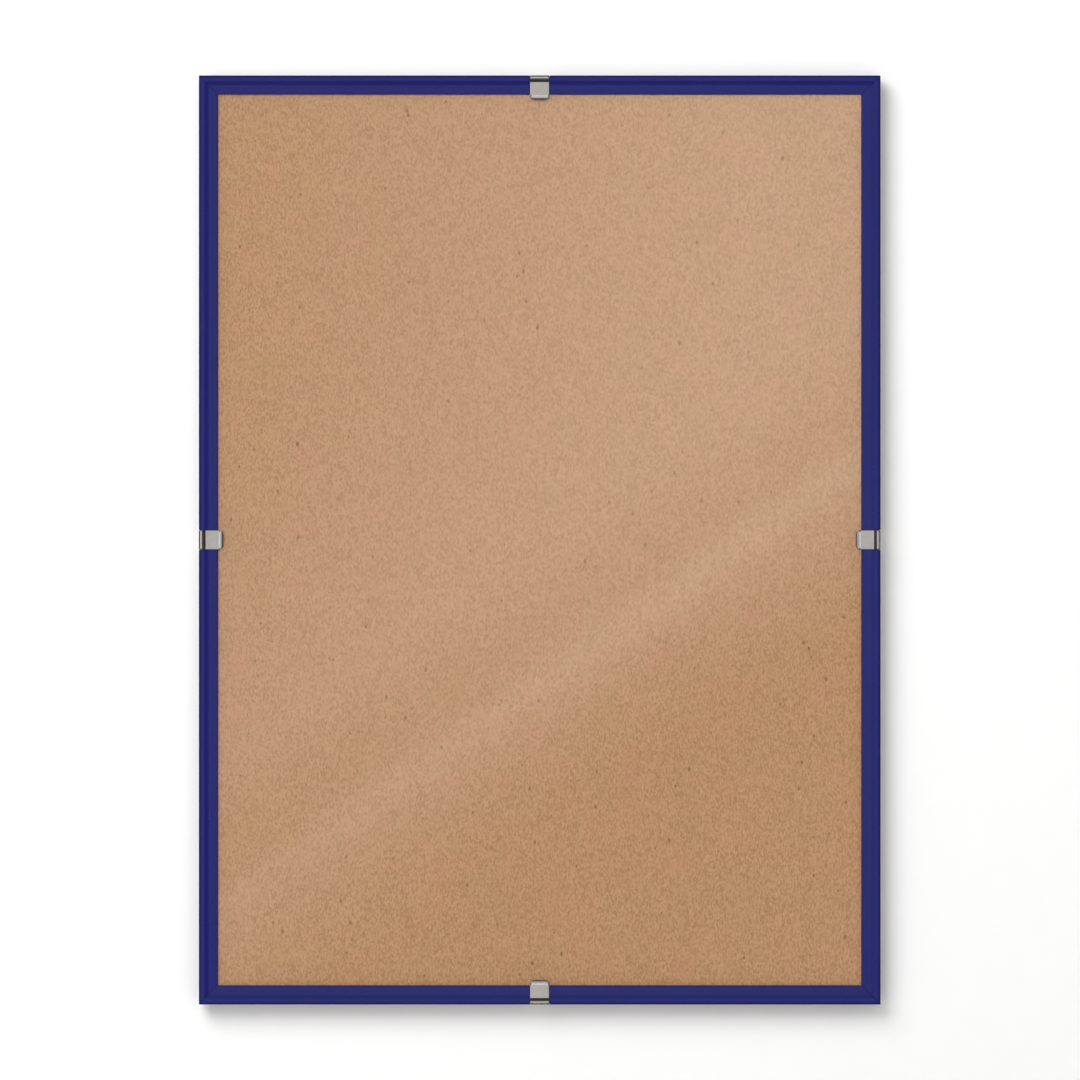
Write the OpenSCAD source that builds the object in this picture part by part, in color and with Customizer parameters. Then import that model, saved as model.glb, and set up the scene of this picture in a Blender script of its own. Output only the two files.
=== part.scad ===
// Clip frame: a glazed back-board frame with a mitred plastic edge moulding,
// held together by one spring clip at the middle of each side.
// The frame stands upright: X is its width, Z its height, the glass faces -Y
// and the wall is on the +Y side. The origin is where the wall hook carries
// the raised ring of the portrait hanger.

/* [Format] */
// Width of the visible opening
opening_w = 330.2; // [240:0.1:500]
// Height of the visible opening
opening_h = 457.2; // [300:0.1:700]

/* [Rails] */
// Width of a rail's face
rail_w = 9.85; // [9.5:0.05:13]
// Thickness of the flange over the glass, at the foot of the bead
flange_t = 1.6; // [1.3:0.1:2.4]
// Height of the rounded bead along the outer edge
bead_h = 0.7; // [0.3:0.1:1]
// Fall of the inner band towards the glass
band_fall = 0.3; // [0:0.05:0.5]
// Wall thickness of the hollow outer part
rail_wall = 1.2; // [1:0.1:1.3]

/* [Glass and board] */
// Thickness of the glass pane
glass_t = 2; // [1.5:0.5:3]
// Thickness of the backing board
board_t = 3; // [2.8:0.1:5]
// Free play between the glass or board and the rails
play = 0.3; // [0.1:0.1:0.6]

/* [Spring clips] */
// Width of a clip
clip_w = 9.9; // [8:0.1:14]
// Thickness of the spring steel
clip_t = 0.5; // [0.4:0.05:0.5]
// Steepness of the hump's inner side, in degrees
hump_angle = 42; // [30:1:48]
// Length of the slope between hump and pad
hump_run = 1.25; // [0.8:0.05:1.4]
// Length of the flat pad that presses on the rail
pad_len = 6.4; // [5.5:0.1:7]
// Length of the rear arm up to the point where it presses on the board
rear_len = 12.2; // [10:0.1:16]
// Length of the flared finger grip at the end of the rear arm
grip_len = 3.2; // [2:0.1:5]

/* [Hangers] */
// Distance from the frame's outer edge to the hanger's pivot
hanger_inset = 46; // [42:1:70]
// Thickness of the hanger strap
strap_t = 0.8; // [0.6:0.1:1]
// Width of the hanger strap
strap_w = 10; // [8:0.5:12]
// Length of the strap from the pivot
strap_len = 27; // [26:1:36]
// Wire radius of the D ring
wire_r = 1; // [0.8:0.05:1.1]
// Inner width of the D ring
ring_in_w = 16; // [15:0.5:20]
// Straight length of the D ring's sides
ring_side = 4; // [3:0.5:5]

/* [Bumpers] */
// Radius of a wall bumper
bumper_r = 5; // [4:0.5:7]
// Height of a wall bumper
bumper_h = 4.5; // [4:0.1:6]
// Distance from the frame's outer edges to a bumper's centre
bumper_inset = 19; // [15:1:30]

/* [Hidden] */

outer_w = opening_w + 2 * rail_w;
outer_h = opening_h + 2 * rail_w;
seam = 0.02;                 // half of the hairline gap at a mitre
air = 0.1;                   // gap in front of and behind the glass

// Depths are counted as f, from the back of the board (f = 0) to the front.
glass_f0 = board_t + air;
glass_f1 = glass_f0 + glass_t;
flange_f = glass_f1 + air;   // underside of the flange
band_f = flange_f + flange_t; // face of the band at the foot of the bead
rail_back_f = 0.2;           // the rails end just short of the board's back
rebate_u = 4.7;              // inner face of the hollow part, from outside
bead_u0 = 2.3;               // the bead falls from here
bead_u1 = 5.6;               // to here
edge_r = 1.3;                // outer edge of the bead
lip_r = 0.6;                 // inner edge of the flange

// The clips lie in seats cut across the rails, flush with the outline.
seat_depth = clip_t + 0.1;
seat_gap = 0.2;
seat_f = band_f - 0.02;
pad_gap = 0.07;              // pad to seat
rear_gap = 0.05;             // rear arm to board
pad_f = seat_f + pad_gap + clip_t / 2;
hump_r = 1.15;
foot_r = 0.9;
rear_r = 1;
rear_slope = 2.8;
contact_r = 1.2;
grip_angle = 30;
nose_r = 0.7;
nose_up = 22;
nose_down = 28;
nose_run = 0.92;
nose_len = 0.85;
hump_rise = hump_r * (1 - cos(hump_angle)) + hump_run * sin(hump_angle)
    + foot_r * (1 - cos(hump_angle));
web_top = pad_f + hump_rise - hump_r;
rear_f = -(rear_gap + clip_t / 2) - rear_len * sin(rear_slope);
web_bottom = rear_f + rear_r * cos(rear_slope);
web_mid = (web_top + web_bottom) / 2;

// Hanger geometry, seen with the pivot at its own origin.
knuckle_gap = 0.1;
knuckle_ri = wire_r + knuckle_gap;
knuckle_ro = knuckle_ri + strap_t;
ring_lean = 3;               // the raised ring leans on the board
ring_bend = 2;
ring_top_r = ring_in_w / 2 + wire_r;
ring_reach = ring_bend + ring_side + ring_top_r;
pin_pos = [8, 21];
pin_r = 0.8;
pin_head_r = 2;
pin_head_h = 0.9;
pin_depth = 2.2;

// The hook bears on the inside of the raised ring's crown.
hook_len = ring_reach - wire_r;
hook_y = knuckle_ro - hook_len * sin(ring_lean);
hook_z = outer_h / 2 - hanger_inset + hook_len * cos(ring_lean);

blue = [0.16, 0.17, 0.42];
steel = [0.70, 0.69, 0.66];
zinc = [0.62, 0.63, 0.62];
board_brown = [0.72, 0.56, 0.43];
glass_tint = [0.80, 0.90, 0.86, 0.35];
key_grey = [0.25, 0.25, 0.27];
rubber_grey = [0.30, 0.30, 0.31];

// Moves the frame from its middle to the hook's point.
module placed() { translate([0, -hook_y, -hook_z]) children(); }

// Turns something made for the top side to another side. a = 0 is the top,
// 90 the right side, 180 the bottom and 270 the left side, seen from the front.
module at_side(a) {
    d = (a == 0 || a == 180) ? outer_h / 2 : outer_w / 2;
    rotate([0, a, 0]) translate([0, 0, d]) children();
}

// Stands a profile drawn as (inward, forward) up along the top side.
module along(len) {
    rotate([0, 90, 180]) linear_extrude(len, center = true) children();
}

// ---- rails ----------------------------------------------------------------

function arc(cx, cy, r, a0, a1, n) =
    [for (i = [0:n]) [cx + r * cos(a0 + (a1 - a0) * i / n),
                      cy + r * sin(a0 + (a1 - a0) * i / n)]];

function bead_curve(n) =
    [for (i = [1:n]) let (s = i / n)
        [bead_u0 + (bead_u1 - bead_u0) * s,
         band_f + bead_h * (1 + cos(180 * s)) / 2]];

module rail_profile() {
    difference() {
        polygon(concat(
            [[0, rail_back_f]],
            arc(edge_r, band_f + bead_h - edge_r, edge_r, 180, 90, 8),
            [[bead_u0, band_f + bead_h]],
            bead_curve(10),
            arc(rail_w - lip_r, band_f - band_fall - lip_r, lip_r, 90, 0, 6),
            [[rail_w, flange_f], [rebate_u, flange_f], [rebate_u, rail_back_f]]));
        // channel for the corner keys
        translate([rail_wall, rail_back_f + rail_wall])
            square([rebate_u - 2 * rail_wall,
                    flange_f - rail_back_f - rail_wall]);
    }
}

module rail(a) {
    len = (a == 0 || a == 180) ? outer_w : outer_h;
    m = rail_w + 1;
    color(blue) placed() at_side(a) difference() {
        intersection() {
            along(len) rail_profile();
            // mitred ends
            rotate([90, 0, 0]) linear_extrude(60, center = true)
                polygon([[-len / 2 + seam, 0], [len / 2 - seam, 0],
                         [len / 2 - m - seam, -m], [-len / 2 + m + seam, -m]]);
        }
        // seat of the clip: the bead is cut away and the side set back
        along(clip_w + 2 * seat_gap) {
            translate([-1, -1]) square([1 + seat_depth, band_f + bead_h + 2]);
            translate([-1, seat_f]) square([rail_w + 2, bead_h + 2]);
        }
    }
}

// ---- corner keys ----------------------------------------------------------

key_fit = 0.05;
key_arm = 24;

module corner_key(sx, sz) {
    a = rail_wall + key_fit;
    w = rebate_u - 2 * rail_wall - 2 * key_fit;
    f0 = rail_back_f + rail_wall + key_fit;
    h = flange_f - rail_back_f - rail_wall - 2 * key_fit;
    color(key_grey) placed()
        translate([sx * outer_w / 2, -f0, sz * outer_h / 2])
        rotate([90, 0, 0]) linear_extrude(h)
            scale_sign(-sx, -sz) difference() {
                translate([a, a]) square([key_arm, key_arm]);
                translate([a + w, a + w]) square([key_arm, key_arm]);
                // tapered lead-in at the end of each arm
                translate([a + key_arm, a]) rotate(45)
                    square([1, 1], center = true);
                translate([a + key_arm, a + w]) rotate(45)
                    square([1, 1], center = true);
                translate([a, a + key_arm]) rotate(45)
                    square([1, 1], center = true);
                translate([a + w, a + key_arm]) rotate(45)
                    square([1, 1], center = true);
            }
}

// Mirrors a corner shape into the quadrant given by two signs.
module scale_sign(sx, sy) {
    if (sx > 0 && sy > 0) children();
    else if (sx < 0 && sy > 0) mirror([1, 0]) children();
    else if (sx > 0 && sy < 0) mirror([0, 1]) children();
    else rotate(180) children();
}

// ---- glass and board ------------------------------------------------------

pane_w = outer_w - 2 * (rebate_u + play);
pane_h = outer_h - 2 * (rebate_u + play);

module glass_pane() {
    color(glass_tint) placed()
        translate([-pane_w / 2, -glass_f1, -pane_h / 2])
            cube([pane_w, glass_t, pane_h]);
}

module backing_board() {
    color(board_brown) placed() difference() {
        translate([-pane_w / 2, -board_t, -pane_h / 2])
            cube([pane_w, board_t, pane_h]);
        hanger_place(0) pin_places() pin_hole(pin_depth + 0.05);
        hanger_place(270) pin_places() pin_hole(pin_depth + 0.05);
    }
}

// ---- spring clips ---------------------------------------------------------

// A bent strip is a list of straight runs ["L", length] and turns
// ["T", radius, degrees to the left]. bent() walks along it from a start
// [x, y, heading] and returns the middle line's points with their headings.
function after(s, e) = e[0] == "L"
    ? [s[0] + e[1] * cos(s[2]), s[1] + e[1] * sin(s[2]), s[2]]
    : let (k = e[2] > 0 ? 1 : -1, h = s[2] + e[2])
        [s[0] + k * e[1] * (sin(h) - sin(s[2])),
         s[1] - k * e[1] * (cos(h) - cos(s[2])), h];

function steps(s, e) = e[0] == "L" ? [after(s, e)]
    : let (n = ceil(abs(e[2]) / 7))
        [for (j = [1:n]) after(s, [e[0], e[1], e[2] * j / n])];

function bent(path, s, i = 0) = i == len(path) ? []
    : concat(steps(s, path[i]), bent(path, after(s, path[i]), i + 1));

// The outline of a strip of thickness t around that middle line.
function side_of(line, d) =
    [for (p = line) [p[0] - d * sin(p[2]), p[1] + d * cos(p[2])]];
function backwards(v) = [for (i = [len(v) - 1:-1:0]) v[i]];
function outline(line, t) =
    concat(side_of(line, t / 2), backwards(side_of(line, -t / 2)));

// front: web, hump, pad and rolled nose
front_path = [
    ["L", web_top - web_mid],
    ["T", hump_r, -(90 + hump_angle)],
    ["L", hump_run],
    ["T", foot_r, hump_angle],
    ["L", pad_len],
    ["T", nose_r, nose_up],
    ["L", nose_run],
    ["T", nose_r, -(nose_up + nose_down)],
    ["L", nose_len]];

// rear: web, bend, arm and flared finger grip
rear_path = [
    ["L", web_mid - web_bottom],
    ["T", rear_r, 90 + rear_slope],
    ["L", rear_len],
    ["T", contact_r, -(rear_slope + grip_angle)],
    ["L", grip_len]];

module clip_profile() {
    rear = bent(rear_path, [clip_t / 2, web_mid, -90]);
    front = bent(front_path, [clip_t / 2, web_mid, 90]);
    polygon(outline(concat(
        [for (p = backwards(rear)) [p[0], p[1], p[2] + 180]], front), clip_t));
}

nose_u = clip_t / 2 + hump_r * (1 + sin(hump_angle))
    + hump_run * cos(hump_angle) + foot_r * sin(hump_angle) + pad_len
    + 2 * nose_r * sin(nose_up) + nose_run * cos(nose_up)
    + nose_r * sin(nose_down) + nose_len * cos(nose_down)
    + clip_t / 2 * sin(nose_down);
grip_u = clip_t / 2 + rear_r * (1 + sin(rear_slope))
    + rear_len * cos(rear_slope)
    + contact_r * (sin(rear_slope) + sin(grip_angle))
    + grip_len * cos(grip_angle) + clip_t / 2 * sin(grip_angle);

// What is cut off the two corners of a tip that ends at u.
module tip_corners(u, r, f0, f1) {
    for (s = [-1, 1])
        translate([s * clip_w / 2, 0, -u])
            rotate([90, 0, 0])
                translate([0, 0, f0]) linear_extrude(f1 - f0)
                    difference() {
                        translate([s > 0 ? -r : -0.5, -0.5])
                            square([r + 0.5, r + 0.5]);
                        translate([-s * r, r]) circle(r, $fn = 48);
                    }
}

module clip(a) {
    color(steel) placed() at_side(a) difference() {
        along(clip_w) clip_profile();
        tip_corners(nose_u, 1.4, pad_f - 2, pad_f + 3);
        tip_corners(grip_u, 2, -8, 0);
    }
}

// ---- hangers --------------------------------------------------------------

// Puts a hanger with its pivot at the origin, its strap along -Z and its back
// on the plane y = 0, on the back of the board next to side a.
module hanger_place(a) {
    at_side(a) translate([0, 0, -hanger_inset]) children();
}

module pin_places() {
    for (p = pin_pos) translate([0, 0, -p]) children();
}

module pin_hole(depth) {
    rotate([90, 0, 0]) translate([0, 0, -3])
        cylinder(r = pin_r + 0.02, h = 3 + depth, $fn = 32);
}

module hanger_strap(a) {
    color(zinc) placed() hanger_place(a) difference() {
        rotate([0, 90, 0]) linear_extrude(strap_w, center = true) {
            // local x is -Z, local y is +Y
            translate([0, knuckle_ro]) difference() {
                circle(knuckle_ro, $fn = 64);
                circle(knuckle_ri, $fn = 64);
            }
            difference() {
                square([strap_len, strap_t]);
                translate([0, knuckle_ro]) circle(knuckle_ri + strap_t / 2, $fn = 64);
            }
        }
        pin_places() pin_hole(1);
        // rounded tail
        translate([0, -1, -strap_len]) rotate([-90, 0, 0])
            linear_extrude(4) difference() {
                translate([-strap_w / 2 - 1, -3]) square([strap_w + 2, 3 + 1]);
                translate([0, -strap_w]) circle(strap_w, $fn = 96);
            }
    }
}

module hanger_pins(a) {
    color(zinc) placed() hanger_place(a) pin_places()
        translate([0, strap_t, 0]) rotate([-90, 0, 0]) {
            translate([0, 0, -strap_t - pin_depth])
                cylinder(r = pin_r, h = strap_t + pin_depth + 0.2, $fn = 32);
            // domed head
            rotate_extrude($fn = 48) intersection() {
                translate([0, pin_head_h - dome_r]) circle(dome_r, $fn = 96);
                square([pin_head_r, pin_head_h]);
            }
        }
}
dome_r = (pin_head_r * pin_head_r + (pin_head_h - 0.25) * (pin_head_h - 0.25))
    / (2 * (pin_head_h - 0.25));

module wire(len) { cylinder(r = wire_r, h = len, $fn = 48); }

module hanger_ring(a) {
    half = ring_top_r - ring_bend;
    color(steel) placed() hanger_place(a) translate([0, knuckle_ro, 0])
        rotate([ring_lean, 0, 0]) rotate([90, 0, 0]) {
            // drawn flat: local x is X, local y is up along the ring
            translate([-half, 0, 0]) rotate([0, 90, 0]) wire(2 * half);
            for (s = [0, 1]) mirror([s, 0, 0]) {
                translate([half, ring_bend, 0]) rotate([0, 0, -90])
                    rotate_extrude(angle = 90, $fn = 96)
                        translate([ring_bend, 0]) circle(wire_r, $fn = 48);
                translate([ring_top_r, ring_bend, 0]) rotate([-90, 0, 0])
                    wire(ring_side);
            }
            translate([0, ring_bend + ring_side, 0])
                rotate_extrude(angle = 180, $fn = 128)
                    translate([ring_top_r, 0]) circle(wire_r, $fn = 48);
        }
}

// ---- bumpers --------------------------------------------------------------

module bumper(sx, sz) {
    color(rubber_grey) placed()
        translate([sx * (outer_w / 2 - bumper_inset), 0,
                   sz * (outer_h / 2 - bumper_inset)])
            rotate([-90, 0, 0]) rotate_extrude($fn = 64)
                polygon(concat([[0, 0], [bumper_r, 0]],
                    arc(bumper_r - 0.9, bumper_h - 0.9, 0.9, 0, 90, 6),
                    [[0, bumper_h]]));
}

// ---- one module per piece -------------------------------------------------

module rail_top() { rail(0); }
module rail_right() { rail(90); }
module rail_bottom() { rail(180); }
module rail_left() { rail(270); }
module corner_key_top_left() { corner_key(-1, 1); }
module corner_key_top_right() { corner_key(1, 1); }
module corner_key_bottom_right() { corner_key(1, -1); }
module corner_key_bottom_left() { corner_key(-1, -1); }
module clip_top() { clip(0); }
module clip_right() { clip(90); }
module clip_bottom() { clip(180); }
module clip_left() { clip(270); }
module hanger_strap_portrait() { hanger_strap(0); }
module hanger_ring_portrait() { hanger_ring(0); }
module hanger_pins_portrait() { hanger_pins(0); }
module hanger_strap_landscape() { hanger_strap(270); }
module hanger_ring_landscape() { hanger_ring(270); }
module hanger_pins_landscape() { hanger_pins(270); }
module bumper_top_left() { bumper(-1, 1); }
module bumper_top_right() { bumper(1, 1); }
module bumper_bottom_right() { bumper(1, -1); }
module bumper_bottom_left() { bumper(-1, -1); }

rail_top();
rail_right();
rail_bottom();
rail_left();
corner_key_top_left();
corner_key_top_right();
corner_key_bottom_right();
corner_key_bottom_left();
glass_pane();
backing_board();
clip_top();
clip_right();
clip_bottom();
clip_left();
hanger_strap_portrait();
hanger_ring_portrait();
hanger_pins_portrait();
hanger_strap_landscape();
hanger_ring_landscape();
hanger_pins_landscape();
bumper_top_left();
bumper_top_right();
bumper_bottom_right();
bumper_bottom_left();
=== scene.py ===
import math

import bmesh
import bpy
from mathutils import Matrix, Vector


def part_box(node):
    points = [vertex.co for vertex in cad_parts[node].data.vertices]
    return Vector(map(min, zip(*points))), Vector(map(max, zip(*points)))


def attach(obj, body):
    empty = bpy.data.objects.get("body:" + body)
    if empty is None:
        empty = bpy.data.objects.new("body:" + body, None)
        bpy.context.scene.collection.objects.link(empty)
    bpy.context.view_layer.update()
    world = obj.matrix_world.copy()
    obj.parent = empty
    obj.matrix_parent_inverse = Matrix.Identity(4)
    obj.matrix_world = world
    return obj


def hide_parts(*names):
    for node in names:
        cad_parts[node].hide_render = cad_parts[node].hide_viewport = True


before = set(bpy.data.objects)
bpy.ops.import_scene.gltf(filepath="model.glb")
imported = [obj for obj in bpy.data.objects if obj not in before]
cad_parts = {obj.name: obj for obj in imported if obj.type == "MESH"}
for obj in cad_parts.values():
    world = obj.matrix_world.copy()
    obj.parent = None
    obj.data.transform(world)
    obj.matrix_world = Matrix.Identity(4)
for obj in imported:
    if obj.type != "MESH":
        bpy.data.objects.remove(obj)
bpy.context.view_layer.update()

# ---------------------------------------------------------------- dimensions
# Millimetres, as on the bench. u counts inward from the outline, f forward
# from the back of the board, w along a side.
MM = 0.001
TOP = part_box("rail_top")[1].z
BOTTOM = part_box("rail_bottom")[0].z
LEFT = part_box("rail_left")[0].x
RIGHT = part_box("rail_right")[1].x
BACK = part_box("backing_board")[1].y
CX, CZ = (LEFT + RIGHT) / 2, (TOP + BOTTOM) / 2
HW, HH = (RIGHT - LEFT) / 2 / MM, (TOP - BOTTOM) / 2 / MM
WALL_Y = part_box("bumper_top_left")[1].y

RAIL_W = 9.85
BAND_F, BEAD_H, BAND_FALL = 6.8, 0.7, 0.3
BEAD_U0, BEAD_U1, EDGE_R, LIP_R = 2.3, 5.6, 1.3, 0.6
REBATE_U, FLANGE_F, RAIL_BACK_F, RAIL_WALL = 4.7, 5.2, 0.2, 1.2
CLIP_W, CLIP_T = 9.9, 0.5
SEAT_DEPTH, SEAT_GAP, SEAT_F = 0.6, 0.2, 6.78
SEAM = 0.02
ROUND = 0.12

BOARD_DARK = (0.350, 0.176, 0.084)
BOARD_LIGHT = (0.480, 0.264, 0.142)
BOARD_PINK = (0.474, 0.228, 0.133)
BOARD_OLIVE = (0.414, 0.242, 0.112)

SIDES = {"top": 0, "right": 90, "bottom": 180, "left": 270}


def half_length(a):
    return HW if a in (0, 180) else HH


def half_depth(a):
    return HH if a in (0, 180) else HW


def place(a, w, f, u):
    """A point at side a: w along it, f forward of the board's back, u inward."""
    x, z = w, half_depth(a) - u
    r = math.radians(a)
    c, s = math.cos(r), math.sin(r)
    return Vector((CX + (x * c + z * s) * MM, BACK - f * MM, CZ + (z * c - x * s) * MM))


# ------------------------------------------------------------- mesh helpers
def new_object(name, bm, sharp=32):
    bmesh.ops.remove_doubles(bm, verts=bm.verts, dist=1e-7)
    bmesh.ops.dissolve_degenerate(bm, edges=bm.edges, dist=1e-7)
    bmesh.ops.recalc_face_normals(bm, faces=bm.faces)
    me = bpy.data.meshes.new(name)
    bm.to_mesh(me)
    bm.free()
    me.shade_smooth()
    me.set_sharp_from_angle(angle=math.radians(sharp))
    ob = bpy.data.objects.new(name, me)
    bpy.context.scene.collection.objects.link(ob)
    return ob


def apply_modifiers(ob):
    """Leaves the mesh as its modifiers make it."""
    dg = bpy.context.evaluated_depsgraph_get()
    dg.update()
    me = bpy.data.meshes.new_from_object(ob.evaluated_get(dg), depsgraph=dg)
    ob.modifiers.clear()
    old = ob.data
    ob.data = me
    bpy.data.meshes.remove(old)


def bevel(ob, width, segments=2, angle=40):
    m = ob.modifiers.new("bevel", "BEVEL")
    m.width = width * MM
    m.segments = segments
    m.limit_method = "ANGLE"
    m.angle_limit = math.radians(angle)
    m.harden_normals = True
    m.use_clamp_overlap = True
    apply_modifiers(ob)


def arc(cx, cy, r, a0, a1, n):
    return [
        (cx + r * math.cos(math.radians(a0 + (a1 - a0) * i / n)),
         cy + r * math.sin(math.radians(a0 + (a1 - a0) * i / n)))
        for i in range(n + 1)
    ]


def loft(bm, rings):
    """Joins closed rings of equal length with quads."""
    made = [[bm.verts.new(p) for p in ring] for ring in rings]
    n = len(made[0])
    for r0, r1 in zip(made, made[1:]):
        for i in range(n):
            j = (i + 1) % n
            bm.faces.new((r0[i], r0[j], r1[j], r1[i]))
    return made


# -------------------------------------------------------------------- rails
def rail_outline():
    pts = arc(ROUND, RAIL_BACK_F + ROUND, ROUND, 270, 180, 3)
    pts += arc(EDGE_R, BAND_F + BEAD_H - EDGE_R, EDGE_R, 180, 90, 14)
    n = 22
    for i in range(n + 1):
        s = i / n
        pts.append((BEAD_U0 + (BEAD_U1 - BEAD_U0) * s,
                    BAND_F + BEAD_H * (1 + math.cos(math.pi * s)) / 2))
    pts += arc(RAIL_W - LIP_R, BAND_F - BAND_FALL - LIP_R, LIP_R, 90, 0, 8)
    pts += arc(RAIL_W - ROUND, FLANGE_F + ROUND, ROUND, 0, -90, 3)
    pts += [(REBATE_U, FLANGE_F)]
    pts += arc(REBATE_U - ROUND, RAIL_BACK_F + ROUND, ROUND, 0, -90, 3)
    return pts


def shrink(pts, d):
    """The outline moved inward by d, for the eased edge at a mitre."""
    n = len(pts)
    out = []
    for i in range(n):
        (x0, y0), (x1, y1), (x2, y2) = pts[i - 1], pts[i], pts[(i + 1) % n]
        e0, e1 = Vector((x1 - x0, y1 - y0)), Vector((x2 - x1, y2 - y1))
        if e0.length < 1e-6:
            e0 = e1
        if e1.length < 1e-6:
            e1 = e0
        e0.normalize(); e1.normalize()
        m = Vector((e0.y + e1.y, -e0.x - e1.x))
        m = m.normalized() if m.length > 1e-6 else Vector((e0.y, -e0.x))
        k = d / max(0.35, m.dot(Vector((e0.y, -e0.x))))
        out.append((x1 + m.x * k, y1 + m.y * k))
    return out


def make_rail(name, a):
    L = half_length(a)
    full = rail_outline()
    eased = shrink(full, 0.09)
    cut = [(max(u, SEAT_DEPTH), min(f, SEAT_F)) for u, f in full]
    hole = [(RAIL_WALL, RAIL_BACK_F + RAIL_WALL),
            (RAIL_WALL, FLANGE_F), (REBATE_U - RAIL_WALL, FLANGE_F),
            (REBATE_U - RAIL_WALL, RAIL_BACK_F + RAIL_WALL)]
    e = CLIP_W / 2 + SEAT_GAP

    def ring(pts, w=None, end=0, back=0.0):
        if end:
            return [place(a, end * (L - u - SEAM - back), f, u) for u, f in pts]
        return [place(a, w, f, u) for u, f in pts]

    bm = bmesh.new()
    rings = [ring(eased, end=-1), ring(full, end=-1, back=0.12)]
    for w in (-e,):
        rings += [ring(full, w), ring(cut, w)]
    rings += [ring(cut, e), ring(full, e)]
    rings += [ring(full, end=1, back=0.12), ring(eased, end=1)]
    made = loft(bm, rings)
    inner = loft(bm, [ring(hole, end=-1), ring(hole, end=1)])
    for k in (0, -1):
        edges = []
        for loop in (made[k], inner[k]):
            for i in range(len(loop)):
                edges.append(bm.edges.get((loop[i], loop[(i + 1) % len(loop)])))
        bmesh.ops.triangle_fill(bm, use_beauty=True, use_dissolve=False, edges=[x for x in edges if x])
    ob = new_object(name + "_moulding", bm, 30)
    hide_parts(name)
    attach(ob, "frame")
    return ob


# -------------------------------------------------------------------- clips
PAD_F = SEAT_F + 0.07 + CLIP_T / 2
HUMP_R, HUMP_A, HUMP_RUN, FOOT_R, PAD_LEN = 1.15, 42, 1.25, 0.9, 6.4
REAR_R, REAR_SLOPE, REAR_LEN, CONTACT_R, GRIP_A, GRIP_LEN = 1.0, 2.8, 12.2, 1.2, 30, 3.2
NOSE_R, NOSE_UP, NOSE_DOWN, NOSE_RUN, NOSE_LEN = 0.7, 22, 28, 0.92, 0.85


def bent(path, s, fine):
    """The middle line of a strip bent from runs and turns, with headings."""
    out = []
    x, y, h = s
    for kind, r, *turn in path:
        if kind == "L":
            n = max(1, int(r / 1.6))
            for j in range(1, n + 1):
                out.append((x + r * j / n * math.cos(math.radians(h)),
                            y + r * j / n * math.sin(math.radians(h)), h))
        else:
            k = 1 if turn[0] > 0 else -1
            n = max(2, math.ceil(abs(turn[0]) / fine))
            for j in range(1, n + 1):
                g = h + turn[0] * j / n
                out.append((x + k * r * (math.sin(math.radians(g)) - math.sin(math.radians(h))),
                            y - k * r * (math.cos(math.radians(g)) - math.cos(math.radians(h))), g))
        x, y, h = out[-1]
    return out


def clip_line(fine=5):
    rise = HUMP_R * (1 - math.cos(math.radians(HUMP_A))) + HUMP_RUN * math.sin(math.radians(HUMP_A)) \
        + FOOT_R * (1 - math.cos(math.radians(HUMP_A)))
    top = PAD_F + rise - HUMP_R
    rear_f = -(0.05 + CLIP_T / 2) - REAR_LEN * math.sin(math.radians(REAR_SLOPE))
    bottom = rear_f + REAR_R * math.cos(math.radians(REAR_SLOPE))
    mid = (top + bottom) / 2
    front = bent([("L", top - mid), ("T", HUMP_R, -(90 + HUMP_A)), ("L", HUMP_RUN),
                  ("T", FOOT_R, HUMP_A), ("L", PAD_LEN), ("T", NOSE_R, NOSE_UP),
                  ("L", NOSE_RUN), ("T", NOSE_R, -(NOSE_UP + NOSE_DOWN)), ("L", NOSE_LEN)],
                 (CLIP_T / 2, mid, 90), fine)
    rear = bent([("L", mid - bottom), ("T", REAR_R, 90 + REAR_SLOPE), ("L", REAR_LEN),
                 ("T", CONTACT_R, -(REAR_SLOPE + GRIP_A)), ("L", GRIP_LEN)],
                (CLIP_T / 2, mid, -90), fine)
    line = [(x, y, h + 180) for x, y, h in reversed(rear)] + [(CLIP_T / 2, mid, 90)] + front
    return line


def refine_ends(line, r0, r1):
    """Adds stations near both tips so that their corners come out round."""
    def at(line, i, j, t):
        a, b = line[i], line[j]
        return (a[0] + (b[0] - a[0]) * t, a[1] + (b[1] - a[1]) * t, a[2] + (b[2] - a[2]) * t)

    def cut(line, r):
        s = [0.0]
        for p, q in zip(line, line[1:]):
            s.append(s[-1] + math.hypot(q[0] - p[0], q[1] - p[1]))
        want = [r * (1 - math.cos(math.radians(t))) for t in (0, 12, 24, 36, 48, 60, 72, 84, 90)]
        old = list(zip(s, line))
        new = []
        for d in want:
            for (s0, p), (s1, q) in zip(old, old[1:]):
                if s0 <= d <= s1 and s1 > s0:
                    t = (d - s0) / (s1 - s0)
                    new.append((d, (p[0] + (q[0] - p[0]) * t, p[1] + (q[1] - p[1]) * t,
                                    p[2] + (q[2] - p[2]) * t)))
                    break
        new += [x for x in old if x[0] > want[-1] + 0.02]
        return [p for _, p in new]

    line = cut(line, r0)
    line = list(reversed(cut(list(reversed(line)), r1)))
    return line


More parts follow.
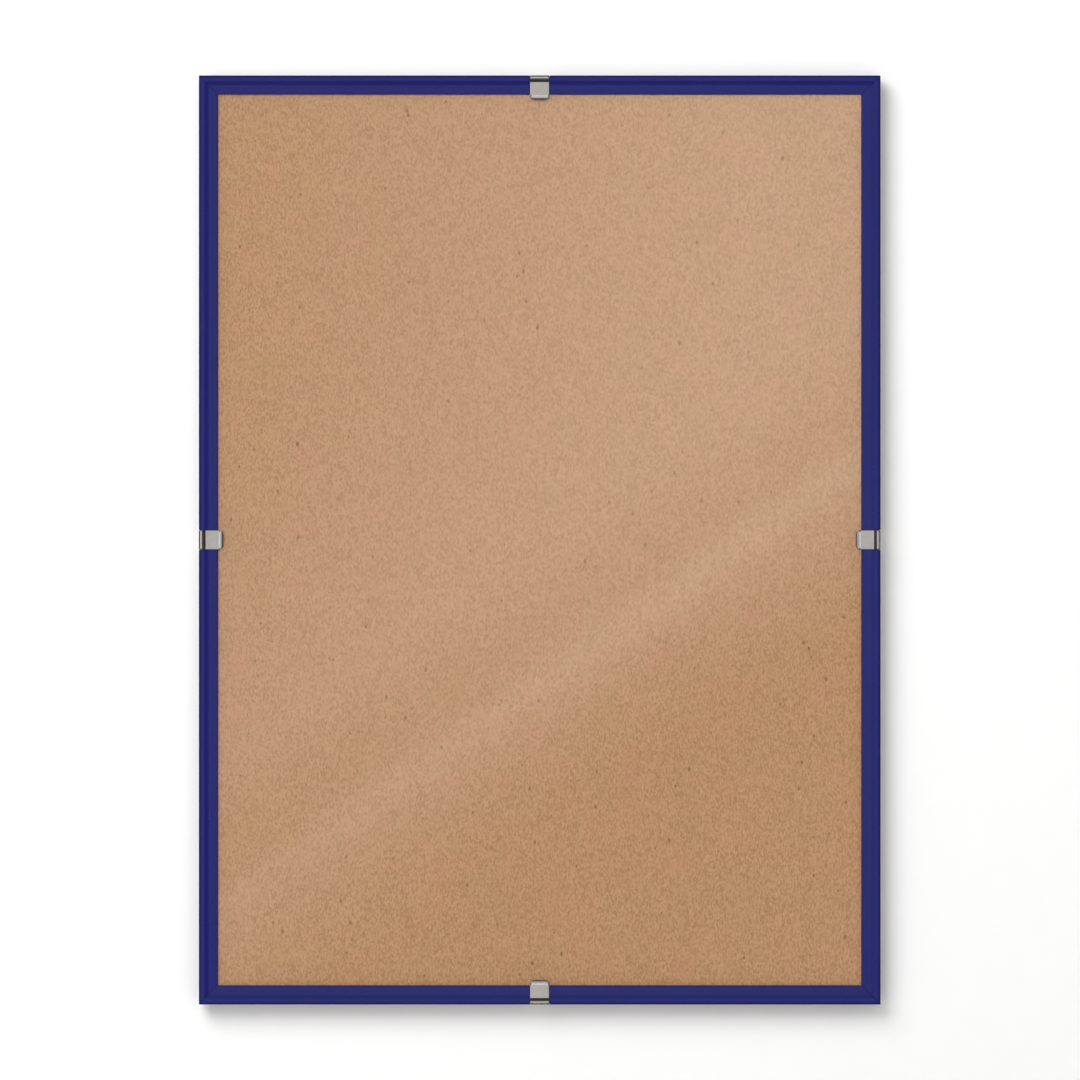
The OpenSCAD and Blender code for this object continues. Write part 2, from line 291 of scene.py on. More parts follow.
def make_clip(name, a, body):
    r_grip, r_nose = 2.0, 2.3
    line = refine_ends(clip_line(), r_grip, r_nose)
    s = [0.0]
    for p, q in zip(line, line[1:]):
        s.append(s[-1] + math.hypot(q[0] - p[0], q[1] - p[1]))
    total = s[-1]
    half = CLIP_W / 2

    def width(i):
        d0, d1 = s[i], total - s[i]
        w = half
        if d0 < r_grip:
            w = half - r_grip + math.sqrt(max(0.0, r_grip ** 2 - (r_grip - d0) ** 2))
        if d1 < r_nose:
            w = half - r_nose + math.sqrt(max(0.0, r_nose ** 2 - (r_nose - d1) ** 2))
        return w

    bm = bmesh.new()
    rings = []
    for i, (x, y, h) in enumerate(line):
        w = width(i)
        nx, ny = -math.sin(math.radians(h)), math.cos(math.radians(h))
        t = CLIP_T / 2
        # The outer face rolls off towards the sheared edges; the inner face is flat.
        roll = [(w - 1.1, t), (w - 0.8, t - 0.006), (w - 0.55, t - 0.022), (w - 0.35, t - 0.045)]
        roll += [(w - 0.12 + 0.12 * math.sin(math.radians(k)), t - 0.18 + 0.12 * math.cos(math.radians(k)))
                 for k in (20, 45, 70, 90)]
        roll += [(w - 0.08 + 0.08 * math.cos(math.radians(k)), -t + 0.08 - 0.08 * math.sin(math.radians(k)))
                 for k in (0, 30, 60, 90)]
        section = roll + [(-c, d) for c, d in reversed(roll)]
        rings.append([place(a, c, y + d * ny, x + d * nx) for c, d in section])
    made = loft(bm, rings)
    for k in (0, -1):
        bm.faces.new(made[k])
    ob = new_object(name + "_strip", bm, 38)
    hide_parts(name)
    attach(ob, body)
    return ob


# ---------------------------------------------------------------- materials
def material(name):
    m = bpy.data.materials.new(name)
    m.use_nodes = True
    nt = m.node_tree
    nt.nodes.clear()
    out = nt.nodes.new("ShaderNodeOutputMaterial")
    return m, nt, out


def node(nt, kind, **kw):
    n = nt.nodes.new("ShaderNode" + kind)
    for k, v in kw.items():
        if hasattr(n, k) and k not in n.inputs:
            setattr(n, k, v)
        else:
            n.inputs[k.replace("_", " ")].default_value = v
    return n


def link(nt, a, b):
    nt.links.new(a, b)


def math_node(nt, op, a, b=None, c=None, clamp=False):
    n = nt.nodes.new("ShaderNodeMath")
    n.operation = op
    n.use_clamp = clamp
    for i, v in enumerate((a, b, c)):
        if v is None:
            continue
        if isinstance(v, (int, float)):
            n.inputs[i].default_value = v
        else:
            nt.links.new(v, n.inputs[i])
    return n.outputs[0]


def mix_color(nt, fac, a, b, blend="MIX"):
    n = nt.nodes.new("ShaderNodeMix")
    n.data_type = "RGBA"
    n.blend_type = blend
    n.clamp_factor = True
    for sock, v in ((n.inputs[0], fac), (n.inputs[6], a), (n.inputs[7], b)):
        if isinstance(v, (int, float)):
            sock.default_value = v
        elif isinstance(v, (tuple, list)):
            sock.default_value = (*v[:3], 1)
        else:
            nt.links.new(v, sock)
    return n.outputs[2]


def coords(nt, scale=(1, 1, 1), rot=(0, 0, 0), loc=(0, 0, 0), kind="Object"):
    tc = nt.nodes.new("ShaderNodeTexCoord")
    mp = nt.nodes.new("ShaderNodeMapping")
    mp.inputs["Scale"].default_value = scale
    mp.inputs["Rotation"].default_value = tuple(math.radians(x) for x in rot)
    mp.inputs["Location"].default_value = loc
    nt.links.new(tc.outputs[kind], mp.inputs["Vector"])
    return mp.outputs[0]


def noise_tex(nt, vec, scale, detail=2.0, rough=0.5, distortion=0.0):
    n = nt.nodes.new("ShaderNodeTexNoise")
    n.inputs["Scale"].default_value = scale
    n.inputs["Detail"].default_value = detail
    n.inputs["Roughness"].default_value = rough
    n.inputs["Distortion"].default_value = distortion
    nt.links.new(vec, n.inputs["Vector"])
    return n.outputs["Fac"]


def map_range(nt, v, a0, a1, b0, b1, smooth=False):
    n = nt.nodes.new("ShaderNodeMapRange")
    n.clamp = True
    if smooth:
        n.interpolation_type = "SMOOTHSTEP"
    for i, x in enumerate((a0, a1, b0, b1)):
        n.inputs[1 + i].default_value = x
    nt.links.new(v, n.inputs[0])
    return n.outputs[0]


def bump(nt, height, strength, distance, normal=None):
    n = nt.nodes.new("ShaderNodeBump")
    n.inputs["Strength"].default_value = strength
    n.inputs["Distance"].default_value = distance
    nt.links.new(height, n.inputs["Height"])
    if normal is not None:
        nt.links.new(normal, n.inputs["Normal"])
    return n.outputs[0]


def mat_rail(name, along):
    """Glossy through-coloured plastic with faint die lines along the rail."""
    m, nt, out = material(name)
    b = node(nt, "BsdfPrincipled")
    v = coords(nt)
    slow = noise_tex(nt, v, 9, 2)
    fine = noise_tex(nt, v, 900, 3, 0.6)
    stretch = (0.01, 1, 1) if along == "x" else (1, 1, 0.01)
    lines = noise_tex(nt, coords(nt, scale=stretch), 1400, 2, 0.6)
    broad_lines = noise_tex(nt, coords(nt, scale=stretch), 380, 1, 0.5)
    tone = math_node(nt, "ADD", math_node(nt, "MULTIPLY", slow, 0.3), math_node(nt, "MULTIPLY", broad_lines, 0.7))
    col = mix_color(nt, map_range(nt, tone, 0.38, 0.62, 0, 1), (0.0076, 0.0088, 0.0990), (0.0092, 0.0104, 0.1110))
    link(nt, col, b.inputs["Base Color"])
    r = math_node(nt, "ADD", map_range(nt, broad_lines, 0.3, 0.7, 0.21, 0.25), map_range(nt, fine, 0.3, 0.7, 0.0, 0.03))
    link(nt, r, b.inputs["Roughness"])
    b.inputs["IOR"].default_value = 1.43
    b.inputs["Specular IOR Level"].default_value = 0.34
    n1 = bump(nt, lines, 0.35, 0.000012)
    n2 = bump(nt, fine, 0.15, 0.000004, n1)
    link(nt, n2, b.inputs["Normal"])
    link(nt, b.outputs[0], out.inputs[0])
    return m


def mat_board():
    """Bare fibre board: short fibres in all directions, soft mottling, a few
    dark flecks, and the fine screen pattern of the press on its back."""
    m, nt, out = material("fibre_board")
    b = node(nt, "BsdfPrincipled")
    total = None
    for k, (ang, long) in enumerate(((3, 0.50), (-22, 0.55), (29, 0.55), (74, 0.60))):
        v = coords(nt, scale=(1.0, 1.0, long), rot=(0, ang, 0), loc=(0.31 * k, 0.17 * k, 0.23 * k))
        n = noise_tex(nt, v, 1050, 2.0, 0.5, 0.3)
        s = map_range(nt, n, 0.32, 0.66, 0, 1, True)
        total = s if total is None else math_node(nt, "ADD", total, s)
    fibres = math_node(nt, "MULTIPLY", total, 0.25)
    v = coords(nt)
    mott = noise_tex(nt, v, 330, 3, 0.6)
    broad = noise_tex(nt, v, 55, 3, 0.55)
    mixf = math_node(nt, "ADD", math_node(nt, "MULTIPLY", fibres, 0.72), math_node(nt, "MULTIPLY", mott, 0.28))
    col = mix_color(nt, map_range(nt, mixf, 0.34, 0.66, 0, 1), BOARD_DARK, BOARD_LIGHT)
    col = mix_color(nt, map_range(nt, broad, 0.50, 0.68, 0, 0.30), col, BOARD_PINK)
    col = mix_color(nt, map_range(nt, broad, 0.50, 0.32, 0, 0.30), col, BOARD_OLIVE)
    # sparse darker flecks of bark, and a few small dark fibres
    for scale, keep, small, big, depth, rot in ((62, 0.70, 0.020, 0.048, 0.72, 20), (150, 0.50, 0.045, 0.11, 0.58, -12)):
        vo = nt.nodes.new("ShaderNodeTexVoronoi")
        vo.inputs["Scale"].default_value = scale
        vo.inputs["Randomness"].default_value = 1
        nt.links.new(coords(nt, scale=(1, 1, 0.62), rot=(0, rot, 0), loc=(0.1, 0, 0.4)), vo.inputs["Vector"])
        pick = math_node(nt, "GREATER_THAN", nt_sep(nt, vo.outputs["Color"]), keep)
        size = map_range(nt, noise_tex(nt, v, 90, 1), 0.35, 0.65, small, big)
        edge = math_node(nt, "SUBTRACT", vo.outputs["Distance"], size)
        dot = map_range(nt, edge, -0.015, 0.02, 1, 0, True)
        fleck = math_node(nt, "MULTIPLY", math_node(nt, "MULTIPLY", dot, pick), depth)
        col = mix_color(nt, fleck, col, (0.130, 0.058, 0.024))
    link(nt, col, b.inputs["Base Color"])
    link(nt, map_range(nt, mixf, 0.3, 0.7, 0.60, 0.72), b.inputs["Roughness"])
    b.inputs["Specular IOR Level"].default_value = 0.3
    grain = bump(nt, mixf, 0.5, 0.00008)
    # the pressed screen pattern, on the back only
    tc = nt.nodes.new("ShaderNodeTexCoord")
    sep = nt.nodes.new("ShaderNodeSeparateXYZ")
    nt.links.new(tc.outputs["Normal"], sep.inputs[0])
    back = math_node(nt, "GREATER_THAN", sep.outputs[1], 0.5)
    pos = nt.nodes.new("ShaderNodeSeparateXYZ")
    wob = noise_tex(nt, v, 40, 2)
    nt.links.new(tc.outputs["Object"], pos.inputs[0])
    shift = math_node(nt, "MULTIPLY", wob, 0.0012)
    mesh = None
    for o in (pos.outputs[0], pos.outputs[2]):
        w = math_node(nt, "SINE", math_node(nt, "MULTIPLY", math_node(nt, "ADD", o, shift), 2 * math.pi / 0.0016))
        w = math_node(nt, "ABSOLUTE", w)
        mesh = w if mesh is None else math_node(nt, "MINIMUM", mesh, w)
    h = math_node(nt, "MULTIPLY", map_range(nt, mesh, 0.0, 0.5, 0, 1, True), back)
    link(nt, bump(nt, h, 0.55, 0.00018, grain), b.inputs["Normal"])
    link(nt, b.outputs[0], out.inputs[0])
    return m


def nt_sep(nt, colour):
    s = nt.nodes.new("ShaderNodeSeparateColor")
    nt.links.new(colour, s.inputs[0])
    return s.outputs[0]


def mat_glass():
    """Clear float glass with a trace of green, deeper in its ground edges.
    Rays from lamps, and rays scattered by the board, pass straight through."""
    m, nt, out = material("pane_glass")
    b = node(nt, "BsdfPrincipled")
    tc = nt.nodes.new("ShaderNodeTexCoord")
    sep = nt.nodes.new("ShaderNodeSeparateXYZ")
    nt.links.new(tc.outputs["Normal"], sep.inputs[0])
    flat = math_node(nt, "GREATER_THAN", math_node(nt, "ABSOLUTE", sep.outputs[1]), 0.9)
    v = coords(nt)
    smear = noise_tex(nt, coords(nt, scale=(1, 1, 0.5), rot=(0, 35, 0)), 22, 4, 0.6)
    tint = mix_color(nt, map_range(nt, smear, 0.3, 0.7, 0, 1), (0.968, 0.982, 0.972), (0.976, 0.988, 0.980))
    link(nt, mix_color(nt, flat, (0.42, 0.74, 0.60), tint), b.inputs["Base Color"])
    b.inputs["Transmission Weight"].default_value = 1.0
    b.inputs["IOR"].default_value = 1.52
    ground = map_range(nt, noise_tex(nt, v, 1500, 2), 0.3, 0.7, 0.25, 0.45)
    r = nt.nodes.new("ShaderNodeMix")
    r.data_type = "FLOAT"
    link(nt, flat, r.inputs[0])
    link(nt, ground, r.inputs[2])
    r.inputs[3].default_value = 0.0
    link(nt, r.outputs[0], b.inputs["Roughness"])
    tr = nt.nodes.new("ShaderNodeBsdfTransparent")
    tr.inputs[0].default_value = (0.955, 0.965, 0.958, 1)
    lp = nt.nodes.new("ShaderNodeLightPath")
    k = math_node(nt, "MAXIMUM", lp.outputs["Is Shadow Ray"], lp.outputs["Is Diffuse Ray"])
    mx = nt.nodes.new("ShaderNodeMixShader")
    link(nt, k, mx.inputs[0])
    link(nt, b.outputs[0], mx.inputs[1])
    link(nt, tr.outputs[0], mx.inputs[2])
    link(nt, mx.outputs[0], out.inputs[0])
    return m


def mat_metal(name, base, rough, grain, stretch=(1, 1, 1), wear=0.0, aniso=0.0):
    m, nt, out = material(name)
    b = node(nt, "BsdfPrincipled")
    b.inputs["Metallic"].default_value = 1.0
    v = coords(nt)
    cloud = noise_tex(nt, v, 220, 3, 0.6)
    fine = noise_tex(nt, coords(nt, scale=stretch), 2600, 3, 0.65)
    dark = tuple(c * 0.93 for c in base)
    col = mix_color(nt, map_range(nt, cloud, 0.35, 0.65, 0, 1), dark, base)
    link(nt, col, b.inputs["Base Color"])
    link(nt, math_node(nt, "ADD", map_range(nt, cloud, 0.3, 0.7, rough - 0.02, rough + 0.03),
                       map_range(nt, fine, 0.3, 0.7, -0.02, 0.02)), b.inputs["Roughness"])
    b.inputs["Anisotropic"].default_value = aniso
    link(nt, bump(nt, fine, grain, 0.00001), b.inputs["Normal"])
    link(nt, b.outputs[0], out.inputs[0])
    return m


def mat_rubber():
    m, nt, out = material("rubber")
    b = node(nt, "BsdfPrincipled")
    v = coords(nt)
    n = noise_tex(nt, v, 1300, 3, 0.6)
    dust = noise_tex(nt, v, 120, 3)
    col = mix_color(nt, map_range(nt, dust, 0.4, 0.75, 0, 0.5), (0.030, 0.030, 0.032), (0.075, 0.073, 0.070))
    link(nt, col, b.inputs["Base Color"])
    link(nt, map_range(nt, dust, 0.3, 0.7, 0.48, 0.66), b.inputs["Roughness"])
    link(nt, bump(nt, n, 0.4, 0.00003), b.inputs["Normal"])
    link(nt, b.outputs[0], out.inputs[0])
    return m


def mat_key():
    m, nt, out = material("key_plastic")
    b = node(nt, "BsdfPrincipled")
    v = coords(nt)
    n = noise_tex(nt, v, 700, 3, 0.6)
    col = mix_color(nt, map_range(nt, n, 0.35, 0.65, 0, 1), (0.030, 0.030, 0.034), (0.045, 0.045, 0.050))
    link(nt, col, b.inputs["Base Color"])
    link(nt, map_range(nt, n, 0.3, 0.7, 0.42, 0.55), b.inputs["Roughness"])
    link(nt, bump(nt, n, 0.3, 0.00002), b.inputs["Normal"])
    link(nt, b.outputs[0], out.inputs[0])
    return m


def wear(ob, m):
    ob.data.materials.clear()
    ob.data.materials.append(m)


# ------------------------------------------------------------------- pieces
blue_x = mat_rail("blue_plastic_x", "x")
blue_z = mat_rail("blue_plastic_z", "z")
brown = mat_board()
glass = mat_glass()
nickel = mat_metal("satin_nickel", (0.675, 0.648, 0.612), 0.175, 0.08)
zinc = mat_metal("zinc_plate", (0.55, 0.56, 0.57), 0.36, 0.4)
bright = mat_metal("nickel_wire", (0.66, 0.65, 0.62), 0.20, 0.2)
rubber = mat_rubber()
grey = mat_key()

for side, a in SIDES.items():
    wear(make_rail("rail_" + side, a), blue_x if a in (0, 180) else blue_z)
    wear(make_clip("clip_" + side, a, "clip_" + side), nickel)

for name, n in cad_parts.items():
    if name.startswith("corner_key"):
        wear(n, grey)


def eased_copy(name, new_name, width, body, m, segments=2, angle=40):
    """The CAD node's own shape with its edges eased."""
    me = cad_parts[name].data.copy()
    bm = bmesh.new()
    bm.from_mesh(me)
    bpy.data.meshes.remove(me)
    bmesh.ops.remove_doubles(bm, verts=bm.verts, dist=1e-7)
    bmesh.ops.dissolve_limit(bm, angle_limit=math.radians(0.5), verts=bm.verts, edges=bm.edges)
    ob = new_object(new_name, bm, angle)
    bevel(ob, width, segments, angle)
    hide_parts(name)
    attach(ob, body)
    wear(ob, m)
    return ob


eased_copy("glass_pane", "pane", 0.2, "frame", glass)
eased_copy("backing_board", "board", 0.25, "frame", brown, angle=60)

# ----------------------------------------------------------------- hangers
INSET = 46.0
KNUCKLE_RO, KNUCKLE_RI, STRAP_T = 1.9, 1.1, 0.8
WIRE_R, RING_BEND, RING_SIDE, RING_TOP, RING_LEAN = 1.0, 2.0, 4.0, 9.0, 3.0
PIN_R, PIN_HEAD_R, PIN_HEAD_H, PIN_DEPTH = 0.8, 2.0, 0.9, 2.2


def at_hanger(a, x, y, z):
    """A point given from the hanger's pivot: z towards the outer edge, y away
    from the board."""
    return place(a, x, -y, INSET - z)


def make_ring(name, a, body):
    half = RING_TOP - RING_BEND
    path = [(-half + 2 * half * i / 8, 0.0, (0.0, -1.0)) for i in range(9)]
    for k in range(1, 13):
        t = math.radians(90 * k / 12)
        n = (math.sin(t), -math.cos(t))
        path.append((half + RING_BEND * n[0], RING_BEND + RING_BEND * n[1], n))
    for k in range(1, 4):
        path.append((RING_TOP, RING_BEND + RING_SIDE * k / 4, (1.0, 0.0)))
    for k in range(0, 49):
        t = math.radians(180 * k / 48)
        n = (math.cos(t), math.sin(t))
        path.append((RING_TOP * n[0], RING_BEND + RING_SIDE + RING_TOP * n[1], n))
    for k in range(3, 0, -1):
        path.append((-RING_TOP, RING_BEND + RING_SIDE * k / 4, (-1.0, 0.0)))
    for k in range(12, 0, -1):
        t = math.radians(90 * k / 12)
        n = (-math.sin(t), -math.cos(t))
        path.append((-half + RING_BEND * n[0], RING_BEND + RING_BEND * n[1], n))
    sl, cl = math.sin(math.radians(RING_LEAN)), math.cos(math.radians(RING_LEAN))
    bm = bmesh.new()
    rings = []
    for x, q, n in path:
        ring = []
        for k in range(28):
            t = 2 * math.pi * k / 28
            px, pq, pb = x + WIRE_R * math.cos(t) * n[0], q + WIRE_R * math.cos(t) * n[1], WIRE_R * math.sin(t)
            ring.append(at_hanger(a, px, KNUCKLE_RO - pq * sl + pb * cl, pq * cl + pb * sl))
        rings.append([bm.verts.new(p) for p in ring])
    n = len(rings)
    for i in range(n):
        r0, r1 = rings[i], rings[(i + 1) % n]
        for k in range(28):
            j = (k + 1) % 28
            bm.faces.new((r0[k], r0[j], r1[j], r1[k]))
    ob = new_object(name.replace("hanger_", "") + "_wire", bm, 60)
    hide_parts(name)
    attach(ob, body)
    return ob


def make_pins(name, a):
    """Two domed drive pins, each a turned solid."""
    edge = 0.25
    dome = (PIN_HEAD_R ** 2 + (PIN_HEAD_H - edge) ** 2) / (2 * (PIN_HEAD_H - edge))
    prof = [(0, STRAP_T - STRAP_T - PIN_DEPTH), (PIN_R - 0.25, -PIN_DEPTH), (PIN_R, -PIN_DEPTH + 0.4),
            (PIN_R, STRAP_T), (PIN_HEAD_R - 0.06, STRAP_T), (PIN_HEAD_R, STRAP_T + 0.06),
            (PIN_HEAD_R, STRAP_T + edge - 0.04)]
    top = math.asin(PIN_HEAD_R / dome)
    for k in range(13):
        t = top * (1 - k / 12)
        r = dome * math.sin(t)
        h = STRAP_T + PIN_HEAD_H - dome + dome * math.cos(t)
        if k == 0:
            r -= 0.03
        prof.append((r, h))
    bm = bmesh.new()
    for z0 in (-8.0, -21.0):
        rings = []
        n = 40
        for k in range(n):
            t = 2 * math.pi * k / n
            rings.append([bm.verts.new(at_hanger(a, r * math.cos(t), h, z0 + r * math.sin(t))) for r, h in prof])
        for k in range(n):
            r0, r1 = rings[k], rings[(k + 1) % n]
            for i in range(len(prof) - 1):
                bm.faces.new((r0[i], r1[i], r1[i + 1], r0[i + 1]))
    ob = new_object(name.replace("hanger_", "") + "_pair", bm, 40)
    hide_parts(name)
    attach(ob, "frame")
    return ob


for way, a in (("portrait", 0), ("landscape", 270)):
    wear(make_ring("hanger_ring_" + way, a, "ring_" + way), bright)
    wear(make_pins("hanger_pins_" + way, a), zinc)
    eased_copy("hanger_strap_" + way, "strap_" + way, 0.1, "frame", zinc, angle=50)


def make_bumper(name):
    lo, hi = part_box(name)
    cx, cz = (lo.x + hi.x) / 2, (lo.z + hi.z) / 2
    R, H = (hi.x - lo.x) / 2 / MM, (hi.y - lo.y) / MM
    prof = [(0, 0), (R - 0.15, 0), (R, 0.15), (R, 0.5)]
    prof += arc(R - 0.9, H - 0.9, 0.9, 0, 90, 12)
    prof += [(R - 1.6, H), (1.2, H), (0, H)]
    bm = bmesh.new()
    n = 64
    rings = []
    for k in range(n):
        t = 2 * math.pi * k / n
        rings.append([bm.verts.new(Vector((cx + r * math.cos(t) * MM, lo.y + h * MM, cz + r * math.sin(t) * MM)))
                      for r, h in prof])
    for k in range(n):
        r0, r1 = rings[k], rings[(k + 1) % n]
        for i in range(len(prof) - 1):
            bm.faces.new((r0[i], r1[i], r1[i + 1], r0[i + 1]))
    ob = new_object(name + "_pad", bm, 40)
    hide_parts(name)
    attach(ob, "frame")
    wear(ob, rubber)


for name in sorted(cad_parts):
    if name.startswith("bumper_"):
        make_bumper(name)

# ------------------------------------------------------------------- stage
CAM_D = 3.079
LIP_POWER = {"top": 0.40, "right": 0.44, "bottom": 0.48, "left": 0.34}
CENTRE = Vector((CX, 0, CZ))
FRONT = BACK - 0.0068


def stage_plane(name, centre, half_x, half_z, facing):
    """A plain rectangle; facing is -y, or +z for a floor."""
    bm = bmesh.new()
    if facing == "-y":
        pts = [(-half_x, 0, -half_z), (half_x, 0, -half_z), (half_x, 0, half_z), (-half_x, 0, half_z)]
    elif facing == "+y":
        pts = [(half_x, 0, -half_z), (-half_x, 0, -half_z), (-half_x, 0, half_z), (half_x, 0, half_z)]
    else:
        pts = [(-half_x, -half_z, 0), (half_x, -half_z, 0), (half_x, half_z, 0), (-half_x, half_z, 0)]
    bm.faces.new([bm.verts.new(Vector(p)) for p in pts])
    me = bpy.data.meshes.new(name)
    bm.to_mesh(me)
    bm.free()
    ob = bpy.data.objects.new(name, me)
    ob.location = centre
    bpy.context.scene.collection.objects.link(ob)
    return ob


def only_for(ob, *rays):
    for r in ("camera", "diffuse", "glossy", "transmission", "shadow", "volume_scatter"):
        setattr(ob, "visible_" + r, r in rays)


# The wall shows from the front only, so the back of the frame stays open to view.
m, nt, out = material("wall_paint")
b = node(nt, "BsdfPrincipled")
v = coords(nt)
link(nt, mix_color(nt, noise_tex(nt, v, 60, 3), (0.90, 0.90, 0.90), (0.92, 0.92, 0.92)), b.inputs["Base Color"])
b.inputs["Roughness"].default_value = 0.9
b.inputs["Specular IOR Level"].default_value = 0.0
g = nt.nodes.new("ShaderNodeNewGeometry")
tr = nt.nodes.new("ShaderNodeBsdfTransparent")
mx = nt.nodes.new("ShaderNodeMixShader")
link(nt, g.outputs["Backfacing"], mx.inputs[0])
link(nt, b.outputs[0], mx.inputs[1])
link(nt, tr.outputs[0], mx.inputs[2])
link(nt, mx.outputs[0], out.inputs[0])
wall = stage_plane("wall", Vector((CX, WALL_Y + 0.0001, CZ)), 2.2, 1.6, "-y")
wear(wall, m)
only_for(wall, "camera")

m, nt, out = material("floor_paint")
b = node(nt, "BsdfPrincipled")
v = coords(nt)
link(nt, mix_color(nt, noise_tex(nt, v, 3, 4), (0.72, 0.715, 0.70), (0.76, 0.755, 0.74)), b.inputs["Base Color"])
b.inputs["Roughness"].default_value = 0.6
b.inputs["Specular IOR Level"].default_value = 0.2
link(nt, b.outputs[0], out.inputs[0])
floor = stage_plane("floor", Vector((CX, 0, -0.62)), 8, 8, "+z")
wear(floor, m)
only_for(floor, "camera", "diffuse")

# ------------------------------------------------------------------ lights
def area(name, offset, size, power, colour=(1, 1, 1), target=CENTRE, size_y=None, spread=180):
    li = bpy.data.lights.new(name, "AREA")
    li.shape = "RECTANGLE"
    li.size = size
    li.size_y = size_y or size
    li.energy = power
    li.color = colour
    li.spread = math.radians(spread)
    ob = bpy.data.objects.new(name, li)
    ob.location = CENTRE + Vector(offset)
    d = (target - ob.location).normalized()
    ob.rotation_euler = d.to_track_quat("-Z", "Y").to_euler()
    bpy.context.scene.collection.objects.link(ob)
    return ob


def lights_only(lamp, exclude=(), include=()):
    """Keeps a lamp's light off some pieces of the stage, or on them alone."""
    c = bpy.data.collections.new(lamp.name + "_link")
    for o in list(exclude) + list(include):
        c.objects.link(o)
    for k, o in enumerate(list(exclude) + list(include)):
        c.collection_objects[k].light_linking.link_state = "EXCLUDE" if o in exclude else "INCLUDE"
    lamp.light_linking.receiver_collection = c


wall_key = area("wall_key", (-1.22, -1.98, 1.66), 1.9, 64)
lights_only(wall_key, include=(wall, floor))
wall_fill = area("wall_fill", (0, -2.2, 0.1), 3.6, 23)
lights_only(wall_fill, include=(wall, floor))
key = area("key", (-0.14, -3.0, 0.24), 1.3, 78)
lights_only(key, exclude=(wall, floor))
back_key = area("back_key", (1.2, 2.2, 1.3), 1.6, 40)
lights_only(back_key, exclude=(wall, floor))
for lamp in (wall_key, wall_fill, key):
    lamp.visible_glossy = False
    lamp.visible_transmission = False
back_key.visible_transmission = False

# One small soft lamp for the turned-up lip of each clip.
LIP_OFF = math.radians(2 * NOSE_UP)
for side, a in SIDES.items():
    spot = place(a, 0, PAD_F, 11)
    out_dir = (place(a, 0, 0, 0) - place(a, 0, 0, 10)).normalized()
    away = out_dir * math.sin(LIP_OFF) + Vector((0, -1, 0)) * math.cos(LIP_OFF)
    lip = area("lip_" + side, spot + away * 1.6 - CENTRE, 0.34, LIP_POWER[side], target=spot)
    lights_only(lip, include=(bpy.data.objects["clip_" + side + "_strip"],))

# A large soft card behind the camera, seen only in the glass: brighter in its
# right half, ending along a slanting soft edge with a streak and a glow.
CARD_D = 4.0
K = (CAM_D + CARD_D) / CAM_D
m, nt, out = material("card_light")
em = nt.nodes.new("ShaderNodeEmission")
tc = nt.nodes.new("ShaderNodeTexCoord")
sep = nt.nodes.new("ShaderNodeSeparateXYZ")
nt.links.new(tc.outputs["Object"], sep.inputs[0])
gx = math_node(nt, "DIVIDE", sep.outputs[0], K)
gz = math_node(nt, "DIVIDE", sep.outputs[2], K)
ang = math.radians(35)
s_line = math_node(nt, "ADD", math_node(nt, "MULTIPLY", gx, -math.sin(ang)), math_node(nt, "MULTIPLY", gz, math.cos(ang)))
s_line = math_node(nt, "ADD", s_line, 0.0766)
above = map_range(nt, s_line, -0.016, 0.016, 0, 1, True)
across = map_range(nt, gx, -0.144, 0.103, 0, 1)
base = math_node(nt, "ADD", math_node(nt, "MULTIPLY", across, 0.84), 0.34)
boost = math_node(nt, "MULTIPLY", map_range(nt, s_line, 0.06, 0.24, 0.32, 0.0, True), math_node(nt, "SUBTRACT", 1.0, across))
lum = math_node(nt, "ADD", base, boost)
lum = math_node(nt, "ADD", math_node(nt, "MULTIPLY", math_node(nt, "SUBTRACT", lum, 0.05), above), 0.05)
trough = math_node(nt, "MINIMUM", map_range(nt, s_line, 0.017, 0.031, 0, 0.30, True), map_range(nt, s_line, 0.038, 0.080, 0.30, 0, True))
lum = math_node(nt, "SUBTRACT", lum, trough)
glow = math_node(nt, "MINIMUM", map_range(nt, s_line, 0.006, -0.010, 0, 1, True), map_range(nt, s_line, -0.012, -0.052, 1, 0.2, True))
lum = math_node(nt, "ADD", lum, math_node(nt, "MULTIPLY", glow, map_range(nt, gx, 0.060, 0.155, 0.27, 0.52)))
link(nt, lum, em.inputs["Strength"])
em.inputs["Color"].default_value = (1.0, 0.98, 0.92, 1)
lp = nt.nodes.new("ShaderNodeLightPath")
tr = nt.nodes.new("ShaderNodeBsdfTransparent")
mx = nt.nodes.new("ShaderNodeMixShader")
link(nt, lp.outputs["Is Singular Ray"], mx.inputs[0])
link(nt, tr.outputs[0], mx.inputs[1])
link(nt, em.outputs[0], mx.inputs[2])
link(nt, mx.outputs[0], out.inputs[0])
card = stage_plane("card", CENTRE + Vector((0, -CARD_D, 0)), 0.52, 0.66, "+y")
wear(card, m)
only_for(card, "glossy", "transmission")

# ------------------------------------------------------------------- world
w = bpy.data.worlds.new("studio")
bpy.context.scene.world = w
w.use_nodes = True
nt = w.node_tree
nt.nodes.clear()
wo = nt.nodes.new("ShaderNodeOutputWorld")
bg = nt.nodes.new("ShaderNodeBackground")
tc = nt.nodes.new("ShaderNodeTexCoord")
sep = nt.nodes.new("ShaderNodeSeparateXYZ")
nt.links.new(tc.outputs["Generated"], sep.inputs[0])
ahead = math_node(nt, "MULTIPLY", sep.outputs[1], -1.0)
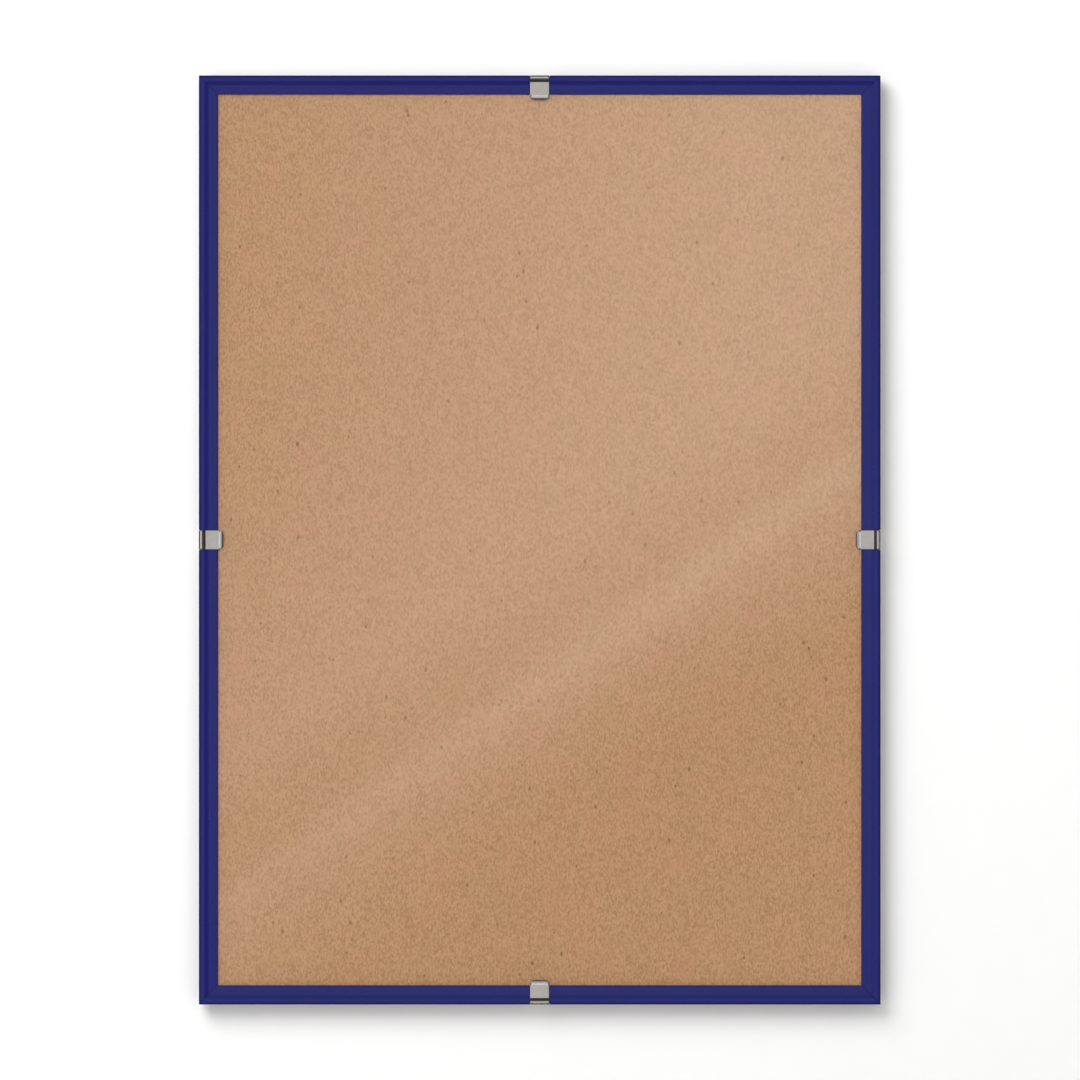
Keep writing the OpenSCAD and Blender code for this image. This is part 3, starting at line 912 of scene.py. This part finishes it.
# in reflections: bright round the camera, further out to its left and above,
# dark towards the wall, middling behind it
tilt = math_node(nt, "ADD", math_node(nt, "MULTIPLY", sep.outputs[0], -0.15), math_node(nt, "MULTIPLY", sep.outputs[2], 0.15))
ring = map_range(nt, math_node(nt, "ADD", ahead, tilt), 0.84, 0.97, 0.13, 0.66, True)
ring = math_node(nt, "MULTIPLY", ring, map_range(nt, ahead, 0.22, 0.52, 0.3, 1.0, True))
left = map_range(nt, sep.outputs[0], -0.15, -0.55, 1.0, 1.4, True)
ring = math_node(nt, "MULTIPLY", ring, left)
behind = map_range(nt, ahead, -0.25, -0.6, 0.0, 0.45, True)
refl = math_node(nt, "ADD", ring, behind)
soft = map_range(nt, ahead, -1.0, 1.0, 0.36, 0.42)
lp = nt.nodes.new("ShaderNodeLightPath")
mixv = nt.nodes.new("ShaderNodeMix")
mixv.data_type = "FLOAT"
link(nt, math_node(nt, "MAXIMUM", lp.outputs["Is Glossy Ray"], lp.outputs["Is Transmission Ray"]), mixv.inputs[0])
link(nt, soft, mixv.inputs[2])
link(nt, refl, mixv.inputs[3])
mixc = nt.nodes.new("ShaderNodeMix")
mixc.data_type = "FLOAT"
link(nt, lp.outputs["Is Camera Ray"], mixc.inputs[0])
link(nt, mixv.outputs[0], mixc.inputs[2])
mixc.inputs[3].default_value = 0.86
link(nt, mixc.outputs[0], bg.inputs["Strength"])
bg.inputs["Color"].default_value = (1, 1, 1, 1)
link(nt, bg.outputs[0], wo.inputs[0])

# ------------------------------------------------------------------ camera
cam = bpy.data.cameras.new("camera")
cam.type = "PERSP"
cam.sensor_width = 36
cam.sensor_height = 36
cam.sensor_fit = "AUTO"
cam.lens = 200
cam.clip_end = 50
cam_ob = bpy.data.objects.new("camera", cam)
cam_ob.location = Vector((CX + 0.00015, FRONT - CAM_D, CZ))
cam_ob.rotation_euler = (math.radians(90), 0, 0)
bpy.context.scene.collection.objects.link(cam_ob)
bpy.context.scene.camera = cam_ob

vs = bpy.context.scene.view_settings
vs.view_transform = "Standard"
vs.look = "None"
vs.exposure = 0
vs.gamma = 1
